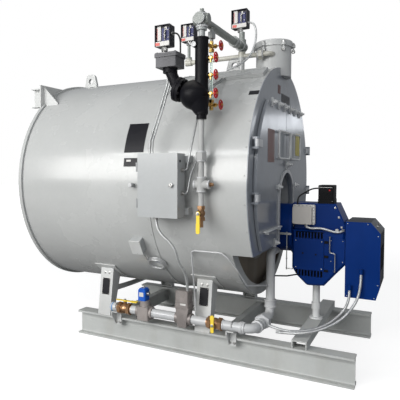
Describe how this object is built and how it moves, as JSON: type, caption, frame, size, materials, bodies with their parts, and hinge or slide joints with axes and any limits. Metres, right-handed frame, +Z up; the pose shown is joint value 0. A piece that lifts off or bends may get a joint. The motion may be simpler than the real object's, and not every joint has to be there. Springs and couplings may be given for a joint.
{
  "type": "industrial boiler",
  "caption": "Packaged horizontal fire-tube boiler on a beam skid with gas burner, gas train, water column, pressure controls and a control cabinet.",
  "frame": {"origin": "on the floor, at the centre of the skid's four anchor holes", "axes": "+X along the boiler to the burner end, +Y across it to the far side from the controls, +Z up"},
  "size_m": [2.507, 1.7862, 2.3923],
  "materials": {
    "grey_paint": "satin light grey enamel",
    "blue_paint": "gloss royal blue enamel",
    "red_paint": "gloss red enamel",
    "black_iron": "black painted casting",
    "brass": "plain brass",
    "yellow_grip": "yellow dipped grip",
    "grey_casting": "cast, warm grey",
    "steel": "bare and plated steel",
    "glass": "clear gauge glass",
    "control_case": "dark case with a pale strip",
    "beige_case": "beige enamel",
    "cord_steel": "flexible steel conduit",
    "cord_black": "black sheath"
  },
  "bodies": {
    "boiler": {"skid_rails": "grey_paint", "gas_brackets": "grey_paint", "cross_members": "grey_paint", "legs": "grey_paint", "rear_jacket": "grey_paint", "front_jacket": "grey_paint", "rear_head": "grey_paint", "rear_door": "grey_paint", "rear_brackets": "grey_paint", "lifting_lugs": "grey_paint", "smokebox_wrap": "grey_paint", "smokebox_frame": "grey_paint", "stack_stub": "grey_paint", "stack_cap": "grey_paint", "wireway": "grey_paint", "burner_pedestal": "grey_paint", "gas_pipe": "grey_paint", "steam_piping": "grey_paint", "drain_line": "grey_paint", "control_cabinet": "grey_paint", "shell_fittings": "grey_paint", "pilot_line": "grey_paint", "rear_brace": "grey_paint", "front_tubesheet": "grey_paint", "burner_tube": "blue_paint", "burner_housing": "blue_paint", "burner_hood": "blue_paint", "burner_controls": "beige_case", "burner_cabinet": "blue_paint", "ball_valves": "brass", "gas_valves": "grey_casting", "gas_actuators": "grey_casting", "water_column": "black_iron", "float_flange": "black_iron", "switch_box": "black_iron", "column_cocks": "brass", "gauge_glass": "glass", "pressure_controls": "control_case", "control_conduits": "cord_steel", "burner_flex_front": "cord_steel", "burner_flex_rear": "cord_steel", "cabinet_flex": "cord_steel", "control_flex": "cord_steel", "control_cable": "cord_black", "flame_cable": "cord_black"},
    "near_door": {"near_front_door": "grey_paint", "near_door_handle": "grey_paint"},
    "far_door": {"far_front_door": "grey_paint", "far_door_handle": "grey_paint"},
    "cabinet_door": {"cabinet_door": "grey_paint"},
    "drain_lever": {"drain_lever": "yellow_grip"},
    "gas_handle_rear": {"gas_handle_rear": "yellow_grip"},
    "gas_handle_front": {"gas_handle_front": "yellow_grip"},
    "handwheel_gauge_top": {"handwheel_gauge_top": "red_paint"},
    "handwheel_try_top": {"handwheel_try_top": "red_paint"},
    "handwheel_try_middle": {"handwheel_try_middle": "red_paint"},
    "handwheel_try_bottom": {"handwheel_try_bottom": "red_paint"},
    "handwheel_gauge_bottom": {"handwheel_gauge_bottom": "red_paint"}
  },
  "joints": [
    {"name": "near_door_hinge", "type": "hinge", "parent": "boiler", "child": "near_door", "pos_m": [0.467, -0.716, 1.26], "axis": [0, 0, -1], "range_deg": [0, 110]},
    {"name": "far_door_hinge", "type": "hinge", "parent": "boiler", "child": "far_door", "pos_m": [0.467, 0.716, 1.26], "axis": [0, 0, 1], "range_deg": [0, 110]},
    {"name": "cabinet_door_hinge", "type": "hinge", "parent": "boiler", "child": "cabinet_door", "pos_m": [-0.213, -0.9473, 1.17], "axis": [0, 0, -1], "range_deg": [0, 110]},
    {"name": "drain_lever_turn", "type": "hinge", "parent": "boiler", "child": "drain_lever", "pos_m": [0.178, -0.903, 1.008], "axis": [0, -1, 0], "range_deg": [0, 90]},
    {"name": "gas_handle_rear_turn", "type": "hinge", "parent": "boiler", "child": "gas_handle_rear", "pos_m": [-0.54, -0.57, 0.319], "axis": [0, 0, -1], "range_deg": [0, 90]},
    {"name": "gas_handle_front_turn", "type": "hinge", "parent": "boiler", "child": "gas_handle_front", "pos_m": [0.156, -0.624, 0.265], "axis": [0, -1, 0], "range_deg": [0, 90]},
    {"name": "handwheel_gauge_top_turn", "type": "hinge", "parent": "boiler", "child": "handwheel_gauge_top", "pos_m": [0.253, -0.745, 2.004], "axis": [1, 0, 0], "range_deg": [0, 720]},
    {"name": "handwheel_try_top_turn", "type": "hinge", "parent": "boiler", "child": "handwheel_try_top", "pos_m": [0.267, -0.86, 1.911], "axis": [1, 0, 0], "range_deg": [0, 720]},
    {"name": "handwheel_try_middle_turn", "type": "hinge", "parent": "boiler", "child": "handwheel_try_middle", "pos_m": [0.267, -0.86, 1.812], "axis": [1, 0, 0], "range_deg": [0, 720]},
    {"name": "handwheel_try_bottom_turn", "type": "hinge", "parent": "boiler", "child": "handwheel_try_bottom", "pos_m": [0.267, -0.86, 1.706], "axis": [1, 0, 0], "range_deg": [0, 720]},
    {"name": "handwheel_gauge_bottom_turn", "type": "hinge", "parent": "boiler", "child": "handwheel_gauge_bottom", "pos_m": [0.253, -0.745, 1.654], "axis": [1, 0, 0], "range_deg": [0, 720]}
  ]
}
